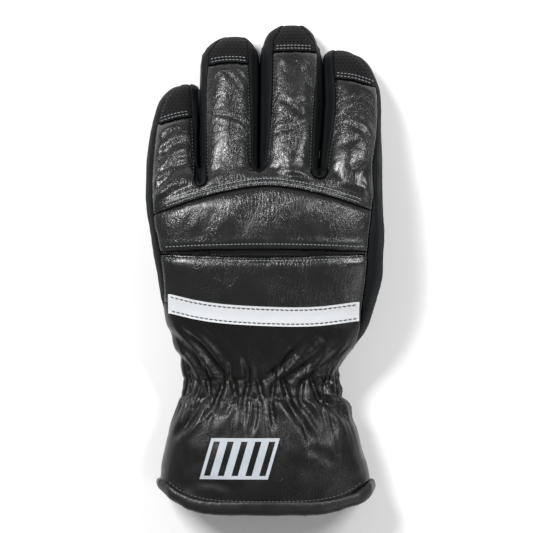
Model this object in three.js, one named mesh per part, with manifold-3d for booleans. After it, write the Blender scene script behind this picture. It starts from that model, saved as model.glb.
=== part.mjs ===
// Firefighter glove for the left hand, lying palm down.
// Millimetres: +X towards the thumb side, +Y towards the fingertips, +Z up.
import * as THREE from 'three';
import { mergeVertices } from 'three/addons/utils/BufferGeometryUtils.js';
import Module from 'manifold-3d';

const wasm = await Module();
wasm.setup();

// Overall sizes that the shares in the tables below are taken of
const GLOVE_LENGTH = 290;
const HAND_WIDTH = 139.7;
const KNUCKLE_HEIGHT = 60;

// Wall of leather, membrane and lining together, and the gaps between sewn pieces
const WALL = 3;
const SEAM_GAP = 0.3;
const SKIN_GAP = 0.3;
const FINGER_SLIT = 1;
const CROTCH_ROUND = 5.8;

// Back of the hand
const ARCH_DROP = 15.8;
const PLEAT_OPENING = 5.2;
const PLEAT_MOUTH_MIN = 1.6;
const PLEAT_DEPTH = 2;

// Reflective tape and the printed hatch on the cuff
const TAPE_WIDTH = 11.5;
const TAPE_THICKNESS = 0.8;
const PRINT_WIDTH = 40;
const PRINT_HEIGHT = 24;
const PRINT_BORDER = 2;
const PRINT_BAR = 4.4;
const PRINT_SLANT = 7;
const PRINT_THICKNESS = 0.5;

// Cuff
const HEM_WIDTH = 6.5;
const HEM_BULGE = 1.8;
const HEM_SWEEP = 16;
const GATHER_DEPTH = 2;

// Facets around each form, and how closely its seams are followed
const HAND_SIDES = 30;
const CUFF_SIDES = 60;
const FINGER_SIDES = 12;
const CROTCH_FACETS = 6;
const SEAM_SPACING = 8.5;
const FINE_STEPS = 4;
const MEETING_STEPS = 30;

// The smallest things kept: parts of a cut, steps of a face, and points apart
const CRUMB = 0.08;
const OUTER_TOLERANCE = 0.12;
const INNER_TOLERANCE = 0.6;
const SAME_POINT = 0.001;
const WELD = 0.00001;
const NARROWEST_LEAN = 0.3;

// How far a cutting shape reaches past the glove, and how square the forms are
const REACH = 40;
const SQUARENESS = { hand: 2.7, finger: 2.35 };

// Hand and cuff from the mouth (y 0) to the finger roots, as shares of length, width and height
const HAND_SECTIONS = sections(['y', 'left', 'right', 'low', 'high'], [
  [0.000, -0.445, 0.449, -0.067, 0.733],
  [0.035, -0.440, 0.441, -0.067, 0.757],
  [0.069, -0.434, 0.430, -0.067, 0.775],
  [0.131, -0.415, 0.400, -0.058, 0.783],
  [0.182, -0.389, 0.371, -0.042, 0.750],
  [0.220, -0.367, 0.347, -0.025, 0.710],
  [0.243, -0.354, 0.330, -0.012, 0.690],
  [0.269, -0.342, 0.317, -0.006, 0.672],
  [0.295, -0.350, 0.316, 0.020, 0.696],
  [0.318, -0.362, 0.340, 0.060, 0.730],
  [0.345, -0.381, 0.388, 0.115, 0.775],
  [0.388, -0.415, 0.436, 0.217, 0.850],
  [0.437, -0.436, 0.466, 0.317, 0.917],
  [0.486, -0.449, 0.492, 0.367, 0.958],
  [0.532, -0.466, 0.497, 0.372, 0.978],
  [0.575, -0.480, 0.498, 0.365, 0.992],
  [0.620, -0.494, 0.496, 0.350, 0.988],
  [0.655, -0.496, 0.494, 0.342, 0.958],
  [0.680, -0.494, 0.490, 0.345, 0.918],
  [0.696, -0.485, 0.482, 0.370, 0.860],
  [0.704, -0.470, 0.466, 0.430, 0.770],
]);

// The seams that part the back and the palm from the two side panels of the hand
const SIDE_SEAMS = sections(['y', 'left', 'right'], [
  [0.327, -0.414, 0.360],
  [0.361, -0.416, 0.390],
  [0.396, -0.420, 0.400],
  [0.437, -0.418, 0.409],
  [0.482, -0.421, 0.422],
  [0.541, -0.436, 0.428],
  [0.584, -0.455, 0.439],
  [0.635, -0.464, 0.449],
  [0.673, -0.465, 0.449],
]);
const SIDE_PANEL_END = { left: 0.402, right: 0.327 };

// Fingers from root to tip: outline, the seams of the back leather, underside and top
const FINGER_COLUMNS = ['y', 'left', 'leftSeam', 'rightSeam', 'right', 'low', 'high'];
const FINGERS = {
  pinky: sections(FINGER_COLUMNS, [
    [0.600, -0.470, -0.455, -0.290, -0.275, 0.420, 0.880],
    [0.645, -0.494, -0.464, -0.287, -0.274, 0.338, 0.905],
    [0.685, -0.496, -0.465, -0.291, -0.276, 0.292, 0.835],
    [0.722, -0.496, -0.462, -0.295, -0.278, 0.250, 0.758],
    [0.771, -0.483, -0.453, -0.300, -0.279, 0.183, 0.667],
    [0.804, -0.470, -0.443, -0.304, -0.279, 0.125, 0.592],
    [0.837, -0.453, -0.426, -0.309, -0.279, 0.050, 0.508],
    [0.853, -0.436, -0.411, -0.312, -0.279, 0.000, 0.458],
    [0.869, -0.403, -0.386, -0.315, -0.282, -0.017, 0.375],
    [0.879, -0.360, -0.350, -0.319, -0.301, 0.067, 0.250],
  ]),
  ring: sections(FINGER_COLUMNS, [
    [0.610, -0.262, -0.242, -0.057, -0.032, 0.420, 0.920],
    [0.665, -0.267, -0.243, -0.054, -0.029, 0.330, 0.930],
    [0.722, -0.268, -0.244, -0.056, -0.028, 0.283, 0.833],
    [0.804, -0.270, -0.244, -0.058, -0.026, 0.217, 0.717],
    [0.869, -0.272, -0.242, -0.064, -0.025, 0.150, 0.617],
    [0.918, -0.269, -0.237, -0.068, -0.025, 0.075, 0.533],
    [0.935, -0.263, -0.234, -0.069, -0.030, 0.042, 0.500],
    [0.951, -0.250, -0.225, -0.072, -0.040, 0.000, 0.458],
    [0.967, -0.212, -0.195, -0.079, -0.064, -0.017, 0.375],
    [0.977, -0.165, -0.157, -0.097, -0.089, 0.067, 0.250],
  ]),
  middle: sections(FINGER_COLUMNS, [
    [0.610, -0.020, 0.004, 0.195, 0.224, 0.420, 0.925],
    [0.665, -0.021, 0.004, 0.195, 0.225, 0.330, 0.940],
    [0.702, -0.021, 0.006, 0.196, 0.226, 0.300, 0.883],
    [0.771, -0.020, 0.021, 0.200, 0.237, 0.250, 0.783],
    [0.839, -0.018, 0.030, 0.208, 0.245, 0.183, 0.675],
    [0.886, -0.017, 0.032, 0.216, 0.243, 0.133, 0.600],
    [0.931, -0.017, 0.034, 0.219, 0.240, 0.067, 0.517],
    [0.951, -0.008, 0.036, 0.212, 0.229, 0.017, 0.475],
    [0.967, 0.000, 0.038, 0.202, 0.216, -0.017, 0.433],
    [0.984, 0.017, 0.049, 0.189, 0.203, -0.017, 0.367],
    [1.000, 0.068, 0.081, 0.148, 0.165, 0.067, 0.250],
  ]),
  index: sections(FINGER_COLUMNS, [
    [0.605, 0.235, 0.267, 0.449, 0.470, 0.420, 0.900],
    [0.660, 0.231, 0.264, 0.449, 0.491, 0.330, 0.915],
    [0.702, 0.231, 0.261, 0.449, 0.492, 0.300, 0.867],
    [0.771, 0.244, 0.284, 0.464, 0.490, 0.233, 0.758],
    [0.837, 0.253, 0.299, 0.470, 0.492, 0.150, 0.633],
    [0.869, 0.251, 0.297, 0.464, 0.487, 0.092, 0.567],
    [0.902, 0.250, 0.291, 0.441, 0.462, 0.033, 0.492],
    [0.918, 0.248, 0.288, 0.422, 0.445, 0.000, 0.450],
    [0.935, 0.254, 0.288, 0.388, 0.411, -0.017, 0.375],
    [0.949, 0.275, 0.297, 0.339, 0.352, 0.067, 0.250],
  ]),
};
const FINGER_NAMES = Object.keys(FINGERS);

// Where the back leather is folded over the fingertip cap: left, middle and right of the finger
const CAP_FOLDS = {
  pinky: [0.793, 0.804, 0.810],
  ring: [0.914, 0.921, 0.917],
  middle: [0.943, 0.944, 0.943],
  index: [0.888, 0.883, 0.869],
};

// Bottom of each fourchette's U on the back of the hand, and of the slit between the fingers
const CROTCHES = [
  { between: ['pinky', 'ring'], u: 0.666, slit: 0.672 },
  { between: ['ring', 'middle'], u: 0.693, slit: 0.699 },
  { between: ['middle', 'index'], u: 0.681, slit: 0.687 },
];

// Thumb folded under the palm: share along it, half width, underside and top
const THUMB_BASE = { x: 0.300, y: 0.420 };
const THUMB_TIP = { x: 0.030, y: 0.655 };
const THUMB_SECTIONS = sections(['along', 'half', 'low', 'high'], [
  [0.00, 0.085, 0.300, 0.600],
  [0.14, 0.108, 0.150, 0.570],
  [0.28, 0.115, 0.040, 0.500],
  [0.44, 0.115, -0.020, 0.420],
  [0.62, 0.112, -0.025, 0.345],
  [0.80, 0.104, -0.020, 0.335],
  [0.92, 0.080, 0.000, 0.310],
  [1.00, 0.035, 0.080, 0.220],
]);

// How deep the leather is gathered above and below the elastic, as a share of GATHER_DEPTH
const GATHERS = sections(['y', 'depth'], [
  [0.120, 0.00],
  [0.182, 0.25],
  [0.220, 0.70],
  [0.243, 1.00],
  [0.269, 1.00],
  [0.295, 0.60],
  [0.345, 0.20],
  [0.388, 0.00],
]);

// The arch over the knuckles, the pleat's middle line and how far its floor runs on both sides
const ARCH = { x: 0.013, y: 0.667, halfWidth: 0.458, power: 1.6 };
const PLEAT_LINE = 0.532;
const PLEAT_FLOOR = 0.05;

// Where the hand's wall starts, where the cuff's ends, and where the curve of the mouth ends
const HAND_START = 0.295;
const CUFF_TOP = 0.437;
const HEM_SWEEP_END = 0.233;

// The middle line of the tape and of the hatch
const TAPE_LINE = sections(['x', 'y'], [
  [-0.417, 0.433],
  [-0.250, 0.415],
  [0.020, 0.405],
  [0.216, 0.405],
  [0.402, 0.416],
]);
const PRINT_CENTRE = { x: -0.105, y: 0.118 };

// The rolled hem from its edge to its stitch line and under it: shares of its width and bulge
const HEM_PROFILE = sections(['along', 'bulge'], [
  [0.0, 0.25],
  [0.2, 0.85],
  [0.5, 1.00],
  [1.0, 0.80],
  [1.4, 0.50],
]);

// Beyond the fingertips, the mouth and the two sides of the glove
const PAST_TIPS = 1 + REACH / GLOVE_LENGTH;
const PAST_MOUTH = -REACH / GLOVE_LENGTH;
const OUTSIDE = 0.5 + REACH / HAND_WIDTH;

// A table of sections as a smooth function of its first column
function sections(columns, rows) {
  const stations = rows.map((row) => row[0]);
  const values = Float64Array.from(rows.flatMap((row) => row.slice(1)));
  const curve = new THREE.CubicInterpolant(stations, values, columns.length - 1);
  const at = (station) => {
    const found = curve.evaluate(station);
    return Object.fromEntries(columns.slice(1).map((name, i) => [name, found[i]]));
  };
  return { stations, at, first: stations[0], last: stations.at(-1) };
}

// A closed geometry as a solid that can be joined and cut
function toSolid(geometry) {
  geometry.deleteAttribute('normal');
  geometry.deleteAttribute('uv');
  const merged = mergeVertices(geometry, WELD);
  return new wasm.Manifold(new wasm.Mesh({
    numProp: 3,
    vertProperties: Float32Array.from(merged.attributes.position.array),
    triVerts: Uint32Array.from(merged.index.array),
  }));
}

// A solid through closed rings of points, each end closed by a fan
function loft(rings) {
  const sides = rings[0].length;
  const ends = [rings[0], rings.at(-1)].map((ring) => {
    const middle = new THREE.Vector3();
    ring.forEach((point) => middle.addScaledVector(point, 1 / sides));
    return middle;
  });
  const points = [...rings.flat(), ...ends];
  const index = [];
  const lastRing = (rings.length - 1) * sides;
  for (let side = 0; side < sides; side += 1) {
    const next = (side + 1) % sides;
    for (let row = 0; row < lastRing; row += sides) {
      const [a, b, c, d] = [row + side, row + next, row + sides + side, row + sides + next];
      index.push(a, c, d, a, d, b);
    }
    index.push(points.length - 2, side, next);
    index.push(points.length - 1, lastRing + next, lastRing + side);
  }
  const geometry = new THREE.BufferGeometry().setFromPoints(points);
  geometry.setIndex(index);
  return toSolid(geometry);
}

// The rounded-square outline of a section in millimetres, as evenly spaced points
function sectionOutline(left, right, low, high, squareness, sides) {
  const round = (value) => Math.sign(value) * Math.abs(value) ** (2 / squareness);
  const steps = FINE_STEPS * sides;
  const fine = Array.from({ length: steps }, (_, i) => {
    const angle = ((i + 0.5) / steps) * 2 * Math.PI;
    return new THREE.Vector3(
      (left + right) / 2 + ((right - left) / 2) * round(Math.cos(angle)),
      0,
      (low + high) / 2 + ((high - low) / 2) * round(Math.sin(angle)),
    );
  });
  return new THREE.CatmullRomCurve3(fine, true).getSpacedPoints(sides).slice(0, -1);
}

// How far the mouth of the cuff curves back towards its two sides
function hemSweep(y, across) {
  const share = Math.max(0, 1 - y / HEM_SWEEP_END);
  return HEM_SWEEP * share * Math.min(1, Math.abs(across)) ** 4;
}

// One ring of the hand or cuff; proud is how far it lies outside the leather's outer face
function handRing(y, proud, sides) {
  const { left, right, low, high } = HAND_SECTIONS.at(y);
  const centre = ((left + right) / 2) * HAND_WIDTH;
  const half = ((right - left) / 2) * HAND_WIDTH;
  const outline = sectionOutline(
    left * HAND_WIDTH - proud,
    right * HAND_WIDTH + proud,
    low * KNUCKLE_HEIGHT - proud,
    high * KNUCKLE_HEIGHT + proud,
    SQUARENESS.hand,
    sides,
  );
  const gather = sides === CUFF_SIDES ? GATHERS.at(y).depth * GATHER_DEPTH : 0;
  return outline.map(({ x, z }, side) => {
    const along = outline[(side + 1) % sides].clone().sub(outline.at(side - 1)).normalize();
    const fold = side % 2 ? -gather : 0;
    return new THREE.Vector3(
      x + fold * along.z,
      y * GLOVE_LENGTH + hemSweep(y, (x - centre) / half),
      Math.max(z - fold * along.x, floorUnder(proud)),
    );
  });
}

// Outer faces are pressed flat on the ground, and inner faces on the wall that lies on it
function floorUnder(proud) {
  return Math.max(0, -proud);
}

function handForm(from, to, proud, sides) {
  const inside = HAND_SECTIONS.stations.filter((y) => y > from && y < to);
  return loft([from, ...inside, to].map((y) => handRing(y, proud, sides)));
}

// A finger's solid, inset for its cavity by a negative proud
function fingerForm(name, proud) {
  const finger = FINGERS[name];
  const tip = finger.last * GLOVE_LENGTH + proud;
  return loft(finger.stations.map((y) => {
    const { left, right, low, high } = finger.at(y);
    const outline = sectionOutline(
      left * HAND_WIDTH - proud,
      right * HAND_WIDTH + proud,
      low * KNUCKLE_HEIGHT - proud,
      high * KNUCKLE_HEIGHT + proud,
      SQUARENESS.finger,
      FINGER_SIDES,
    );
    const rootY = finger.first * GLOVE_LENGTH;
    const along = (y - finger.first) / (finger.last - finger.first);
    return outline.map(({ x, z }) => new THREE.Vector3(
      x,
      rootY + along * (tip - rootY),
      Math.max(z, floorUnder(proud)),
    ));
  }));
}

// The thumb's solid along its own line under the palm
function thumbForm(proud) {
  const base = new THREE.Vector2(THUMB_BASE.x * HAND_WIDTH, THUMB_BASE.y * GLOVE_LENGTH);
  const tip = new THREE.Vector2(THUMB_TIP.x * HAND_WIDTH, THUMB_TIP.y * GLOVE_LENGTH);
  const forward = tip.clone().sub(base).normalize();
  const length = base.distanceTo(tip) + proud;
  return loft(THUMB_SECTIONS.stations.map((along) => {
    const { half, low, high } = THUMB_SECTIONS.at(along);
    const outline = sectionOutline(
      -half * HAND_WIDTH - proud,
      half * HAND_WIDTH + proud,
      low * KNUCKLE_HEIGHT - proud,
      high * KNUCKLE_HEIGHT + proud,
      SQUARENESS.finger,
      FINGER_SIDES,
    );
    const middle = base.clone().addScaledVector(forward, along * length);
    return outline.map(({ x, z }) => new THREE.Vector3(
      middle.x + forward.y * x,
      middle.y - forward.x * x,
      Math.max(z, floorUnder(proud)),
    ));
  }));
}

// An upright block between two heights over an outline in plan
function prism(outline, low = -REACH, high = KNUCKLE_HEIGHT + REACH) {
  const shape = new THREE.Shape(outline);
  const geometry = new THREE.ExtrudeGeometry(shape, { depth: high - low, bevelEnabled: false });
  geometry.translate(0, 0, low);
  return toSolid(geometry);
}

// The outline moved inwards by the same distance on every edge
function shrink(outline, distance) {
  const points = outline.filter((p, i) => p.distanceTo(outline.at(i - 1)) > SAME_POINT);
  const turn = THREE.ShapeUtils.area(points) > 0 ? 1 : -1;
  return points.map((point, i) => {
    const before = point.clone().sub(points.at(i - 1)).normalize();
    const after = points[(i + 1) % points.length].clone().sub(point).normalize();
    const normal = new THREE.Vector2(-before.y - after.y, before.x + after.x).normalize();
    const lean = Math.abs(normal.x * -after.y + normal.y * after.x);
    return point.clone().addScaledVector(normal, (turn * distance) / Math.max(NARROWEST_LEAN, lean));
  });
}

// A sewn region: half of the seam gap is left all round
function region(outline, low, high) {
  return prism(shrink(outline, SEAM_GAP / 2), low, high);
}

function plan(x, y) {
  return new THREE.Vector2(x * HAND_WIDTH, y * GLOVE_LENGTH);
}

// The two ends of a stretch and the stations of a fixed spacing between them, in order
function stretch(from, to, spacing) {
  const [low, high] = from < to ? [from, to] : [to, from];
  const stations = [low];
  const margin = spacing / 10;
  for (let i = Math.ceil((low + margin) / spacing); i * spacing < high - margin; i += 1) {
    stations.push(i * spacing);
  }
  stations.push(high);
  return from < to ? stations : stations.reverse();
}

// Points along a seam that is x as a function of y
function seamPoints(xAt, from, to) {
  return stretch(from, to, SEAM_SPACING / GLOVE_LENGTH).map((y) => plan(xAt(y), y));
}

// Points along a cross line that is y as a function of x
function crossPoints(yAt, from, to) {
  return stretch(from, to, SEAM_SPACING / HAND_WIDTH).map((x) => plan(x, yAt(x)));
}

// The height share at which a cross line meets a seam
function meeting(yAt, xAt, start) {
  let y = start;
  for (let step = 0; step < MEETING_STEPS; step += 1) {
    y = yAt(xAt(y));
  }
  return y;
}

const handLeft = (y) => SIDE_SEAMS.at(y).left;
const handRight = (y) => SIDE_SEAMS.at(y).right;
const leftSeam = (name) => (y) => FINGERS[name].at(y).leftSeam;
const rightSeam = (name) => (y) => FINGERS[name].at(y).rightSeam;
const FINGER_ROOT = SIDE_SEAMS.last;

// Cross lines of the back, from the finger arch down to the tape
function archLine(x) {
  const across = Math.abs((x - ARCH.x) / ARCH.halfWidth);
  return ARCH.y - (ARCH_DROP / GLOVE_LENGTH) * across ** ARCH.power;
}

function pleatEdge(side) {
  return (x) => {
    const across = Math.min(1, Math.abs(x) / -handLeft(PLEAT_LINE));
    const opening = PLEAT_MOUTH_MIN + (PLEAT_OPENING - PLEAT_MOUTH_MIN) * (1 - across ** 2);
    return PLEAT_LINE + (side * opening) / 2 / GLOVE_LENGTH;
  };
}

function tapeEdge(offset) {
  return (x) => TAPE_LINE.at(x).y + offset / GLOVE_LENGTH;
}

// The outline between two seams and two cross lines
function panelOutline(left, right, lower, upper) {
  const start = (lower(0) + upper(0)) / 2;
  const lowLeft = meeting(lower, left, start);
  const lowRight = meeting(lower, right, start);
  const highLeft = meeting(upper, left, start);
  const highRight = meeting(upper, right, start);
  return [
    ...crossPoints(lower, left(lowLeft), right(lowRight)),
    ...seamPoints(right, lowRight, highRight).slice(1),
    ...crossPoints(upper, right(highRight), left(highLeft)).slice(1),
    ...seamPoints(left, highLeft, lowLeft).slice(1, -1),
  ];
}

// The rounded bottom of a fourchette, from its left finger's seam to its right finger's
function crotchArc({ between: [a, b], u }) {
  const top = u + CROTCH_ROUND / GLOVE_LENGTH;
  const from = rightSeam(a)(top);
  const to = leftSeam(b)(top);
  return Array.from({ length: CROTCH_FACETS + 1 }, (_, i) => {
    const angle = Math.PI * (1 + i / CROTCH_FACETS);
    return plan(
      (from + to) / 2 + ((to - from) / 2) * Math.cos(angle),
      top + (CROTCH_ROUND / GLOVE_LENGTH) * Math.sin(angle),
    );
  });
}

// The back leather's edge round all fingers, left to right; ends(name) closes each fingertip
function fingerEdge(endY, ends) {
  return FINGER_NAMES.flatMap((name, i) => {
    const from = i === 0 ? FINGER_ROOT : CROTCHES[i - 1].u + CROTCH_ROUND / GLOVE_LENGTH;
    const crotch = CROTCHES[i];
    const to = crotch ? crotch.u + CROTCH_ROUND / GLOVE_LENGTH : FINGER_ROOT;
    const [endLeft, endRight] = endY(name);
    return [
      ...seamPoints(leftSeam(name), from, endLeft),
      ...ends(name),
      ...seamPoints(rightSeam(name), endRight, to),
      ...(crotch ? crotchArc(crotch).slice(1, -1) : []),
    ];
  });
}

// The fold line over a fingertip cap
function capFold(name) {
  const [left, middle, right] = CAP_FOLDS[name];
  const from = leftSeam(name)(left);
  const to = rightSeam(name)(right);
  const line = sections(['x', 'y'], [[from, left], [(from + to) / 2, middle], [to, right]]);
  return crossPoints((x) => line.at(x).y, from, to);
}

function capOutline(name) {
  const [left, , right] = CAP_FOLDS[name];
  const tip = FINGERS[name].last;
  return [
    ...capFold(name),
    ...seamPoints(rightSeam(name), right, tip).slice(1),
    plan(rightSeam(name)(tip), PAST_TIPS),
    plan(leftSeam(name)(tip), PAST_TIPS),
    ...seamPoints(leftSeam(name), tip, left).slice(0, -1),
  ];
}

// The back leather that covers all four fingers, down to the arch over the knuckles
function fingerBacksOutline() {
  const archLeft = meeting(archLine, handLeft, ARCH.y);
  const archRight = meeting(archLine, handRight, ARCH.y);
  const foldEnds = (name) => [CAP_FOLDS[name][0], CAP_FOLDS[name][2]];
  return [
    ...seamPoints(handLeft, archLeft, FINGER_ROOT).slice(0, -1),
    ...fingerEdge(foldEnds, (name) => capFold(name).slice(1, -1)),
    ...seamPoints(handRight, FINGER_ROOT, archRight).slice(1),
    ...crossPoints(archLine, handRight(archRight), handLeft(archLeft)).slice(1, -1),
  ];
}

// The palm leather: fingers and hand in one, down to the wrist
function palmOutline() {
  const beyond = (name) => [
    plan(leftSeam(name)(FINGERS[name].last), PAST_TIPS),
    plan(rightSeam(name)(FINGERS[name].last), PAST_TIPS),
  ];
  return [
    ...seamPoints(handLeft, SIDE_PANEL_END.left, FINGER_ROOT).slice(0, -1),
    ...fingerEdge((name) => [FINGERS[name].last, FINGERS[name].last], beyond),
    ...seamPoints(handRight, FINGER_ROOT, SIDE_PANEL_END.right).slice(1),
  ];
}

// The strip between two fingers, over both their facing sides
function fourchetteOutline(crotch) {
  const [a, b] = crotch.between;
  const top = crotch.u + CROTCH_ROUND / GLOVE_LENGTH;
  return [
    plan(rightSeam(a)(FINGERS[a].last), PAST_TIPS),
    ...seamPoints(rightSeam(a), FINGERS[a].last, top),
    ...crotchArc(crotch).slice(1, -1),
    ...seamPoints(leftSeam(b), top, FINGERS[b].last),
    plan(leftSeam(b)(FINGERS[b].last), PAST_TIPS),
  ];
}

// The side panel from a fingertip down the edge of the hand; side is -1 left or 1 right
function sidePanelOutline(side) {
  const seam = side < 0 ? leftSeam('pinky') : rightSeam('index');
  const hand = side < 0 ? handLeft : handRight;
  const end = side < 0 ? SIDE_PANEL_END.left : SIDE_PANEL_END.right;
  const tip = (side < 0 ? FINGERS.pinky : FINGERS.index).last;
  return [
    plan(side * OUTSIDE, PAST_TIPS),
    plan(side * OUTSIDE, end),
    ...seamPoints(hand, end, FINGER_ROOT).slice(0, -1),
    ...seamPoints(seam, FINGER_ROOT, tip),
    plan(seam(tip), PAST_TIPS),
  ];
}

// The cuff's outline in plan, below the given points that run from its left end to its right
function cuffOutline(topPoints) {
  return [
    plan(-OUTSIDE, PAST_MOUTH),
    plan(-OUTSIDE, SIDE_PANEL_END.left),
    ...topPoints,
    plan(OUTSIDE, SIDE_PANEL_END.right),
    plan(OUTSIDE, PAST_MOUTH),
  ];
}

function cuffBackTop() {
  const line = tapeEdge(0);
  const left = meeting(line, handLeft, TAPE_LINE.at(TAPE_LINE.first).y);
  const right = meeting(line, handRight, TAPE_LINE.at(TAPE_LINE.last).y);
  return [
    ...seamPoints(handLeft, SIDE_PANEL_END.left, left).slice(0, -1),
    ...crossPoints(line, handLeft(left), handRight(right)),
    ...seamPoints(handRight, right, SIDE_PANEL_END.right).slice(1),
  ];
}

function cuffPalmTop() {
  return [
    plan(handLeft(SIDE_PANEL_END.left), SIDE_PANEL_END.left),
    plan(handRight(SIDE_PANEL_END.right), SIDE_PANEL_END.right),
  ];
}

// Everything outside the hem's stitch line, which follows the curved mouth
function hemOutline(edge) {
  const { left, right } = HAND_SECTIONS.at(0);
  const half = (right - left) / 2;
  const middle = (left + right) / 2;
  const y = edge / GLOVE_LENGTH;
  const yAt = (x) => y + hemSweep(y, (x - middle) / half) / GLOVE_LENGTH;
  return [
    ...crossPoints(yAt, -OUTSIDE, OUTSIDE),
    plan(OUTSIDE, PAST_MOUTH),
    plan(-OUTSIDE, PAST_MOUTH),
  ];
}

// Everything above the middle of each form's height, or lower by a drop
function upperHalf(drop = 0) {
  const block = (table, fromX, toX, fromY, toY) => {
    const inside = table.stations.filter((y) => y > fromY && y < toY);
    const line = [fromY, ...inside, toY].map((y) => {
      const { low, high } = table.at(y);
      return new THREE.Vector2(y * GLOVE_LENGTH, ((low + high) / 2) * KNUCKLE_HEIGHT - drop);
    });
    const roof = KNUCKLE_HEIGHT + REACH;
    const shape = new THREE.Shape([
      ...line,
      new THREE.Vector2(toY * GLOVE_LENGTH, roof),
      new THREE.Vector2(fromY * GLOVE_LENGTH, roof),
    ]);
    const depth = (toX - fromX) * HAND_WIDTH;
    const geometry = new THREE.ExtrudeGeometry(shape, { depth, bevelEnabled: false });
    geometry.applyMatrix4(new THREE.Matrix4().makeBasis(
      new THREE.Vector3(0, 1, 0),
      new THREE.Vector3(0, 0, 1),
      new THREE.Vector3(1, 0, 0),
    ));
    geometry.translate(fromX * HAND_WIDTH, 0, 0);
    return toSolid(geometry);
  };
  const edges = CROTCHES.map(({ between: [a, b], slit }) => slitLine(a, b, slit));
  const bounds = [-OUTSIDE, ...edges, OUTSIDE];
  const fingers = FINGER_NAMES.map((name, i) => (
    block(FINGERS[name], bounds[i], bounds[i + 1], FINGER_ROOT, PAST_TIPS)
  ));
  const hand = block(HAND_SECTIONS, -OUTSIDE, OUTSIDE, PAST_MOUTH, HAND_SECTIONS.last);
  return fingers.reduce((sum, finger) => sum.add(finger), hand);
}

// The middle of the slit between two fingers
function slitLine(a, b, y) {
  return (FINGERS[a].at(y).right + FINGERS[b].at(y).left) / 2;
}

// The slits cut into the hand between the finger roots
function slitBlocks(width, end) {
  return CROTCHES.map(({ between: [a, b], slit }) => {
    const middle = slitLine(a, b, slit) * HAND_WIDTH;
    const from = slit * GLOVE_LENGTH - end;
    const to = HAND_SECTIONS.last * GLOVE_LENGTH + REACH;
    return prism([
      new THREE.Vector2(middle - width / 2, from),
      new THREE.Vector2(middle + width / 2, from),
      new THREE.Vector2(middle + width / 2, to),
      new THREE.Vector2(middle - width / 2, to),
    ]);
  });
}

function joinAll(solids) {
  return solids.reduce((sum, solid) => sum.add(solid));
}

// Hand and fingers as one soft form, outer (proud 0) or inner (proud minus the wall, open at the wrist)
function handWithFingers(proud) {
  const start = HAND_START + (2 * proud) / GLOVE_LENGTH;
  const end = HAND_SECTIONS.last + proud / GLOVE_LENGTH;
  const hand = handForm(start, end, proud, HAND_SIDES);
  const form = joinAll([hand, ...FINGER_NAMES.map((name) => fingerForm(name, proud))]);
  return form.subtract(joinAll(slitBlocks(FINGER_SLIT - 2 * proud, -proud)));
}

// The largest body of a cut, without the crumbs that a cut leaves beside it
function wholePiece(solid) {
  const bodies = solid.simplify(CRUMB).decompose();
  bodies.sort((a, b) => b.volume() - a.volume());
  return bodies[0];
}

const outer = handWithFingers(0).simplify(OUTER_TOLERANCE);
const cavity = handWithFingers(-WALL).simplify(INNER_TOLERANCE);
const handWall = outer.subtract(cavity);
const cuffEnd = (2 * WALL) / GLOVE_LENGTH;
const cuffCavity = handForm(-cuffEnd, CUFF_TOP + cuffEnd, -WALL, HAND_SIDES).simplify(INNER_TOLERANCE);
const cuffOuter = handForm(0, CUFF_TOP, 0, CUFF_SIDES).simplify(OUTER_TOLERANCE);
const cuffWall = cuffOuter.subtract(cuffCavity);
const back = upperHalf();
const backAndGap = upperHalf(SEAM_GAP);
const thumbCavity = thumbForm(-WALL).simplify(INNER_TOLERANCE);

function backPanel(outline) {
  return handWall.intersect(region(outline)).intersect(back);
}

function knucklePanel() {
  return backPanel(panelOutline(handLeft, handRight, pleatEdge(1), archLine));
}

function handBackPanel() {
  return backPanel(panelOutline(handLeft, handRight, tapeEdge(0), pleatEdge(-1)));
}

// The pleat's floor lies deeper than the leather on both sides of it
function flexPleat() {
  const around = (share, proud) => (
    handForm(PLEAT_LINE - share, PLEAT_LINE + share, proud, HAND_SIDES)
  );
  const floor = around(PLEAT_FLOOR, -PLEAT_DEPTH);
  const under = around(PLEAT_FLOOR + WALL / GLOVE_LENGTH, -PLEAT_DEPTH - WALL);
  const opening = panelOutline(handLeft, handRight, pleatEdge(-1), pleatEdge(1));
  return floor.subtract(under).intersect(region(opening)).intersect(back);
}

// A strip or print that lies on the leather of the back of the cuff
function skinOnBack(block, thickness) {
  const form = (proud) => handForm(0, HAND_SECTIONS.last, proud, CUFF_SIDES);
  return form(SKIN_GAP + thickness).subtract(form(SKIN_GAP)).intersect(block).intersect(back);
}

function reflectiveTape() {
  const edges = [tapeEdge(-TAPE_WIDTH / 2), tapeEdge(TAPE_WIDTH / 2)];
  return skinOnBack(region(panelOutline(handLeft, handRight, ...edges)), TAPE_THICKNESS);
}

// A plain hatch of slanted bars in a border
function cuffPrint() {
  const middle = plan(PRINT_CENTRE.x, PRINT_CENTRE.y);
  const slanted = (x0, x1, y0, y1) => {
    const lean = (y) => (PRINT_SLANT * y) / PRINT_HEIGHT;
    return [[x0, y0], [x1, y0], [x1, y1], [x0, y1]].map(([x, y]) => (
      new THREE.Vector2(middle.x + x + lean(y), middle.y + y)
    ));
  };
  const halfHeight = PRINT_HEIGHT / 2;
  const halfWidth = PRINT_WIDTH / 2;
  const inner = PRINT_WIDTH - 2 * PRINT_BORDER;
  const slots = Math.max(1, Math.round((inner / PRINT_BAR - 1) / 2) + 1);
  const slotWidth = (inner - (slots - 1) * PRINT_BAR) / slots;
  const holes = Array.from({ length: slots }, (_, i) => {
    const x = -halfWidth + PRINT_BORDER + i * (slotWidth + PRINT_BAR);
    const top = halfHeight - PRINT_BORDER;
    return prism(slanted(x, x + slotWidth, -top, top));
  });
  const plate = prism(slanted(-halfWidth, halfWidth, -halfHeight, halfHeight));
  return skinOnBack(plate.subtract(joinAll(holes)), PRINT_THICKNESS);
}

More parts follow.
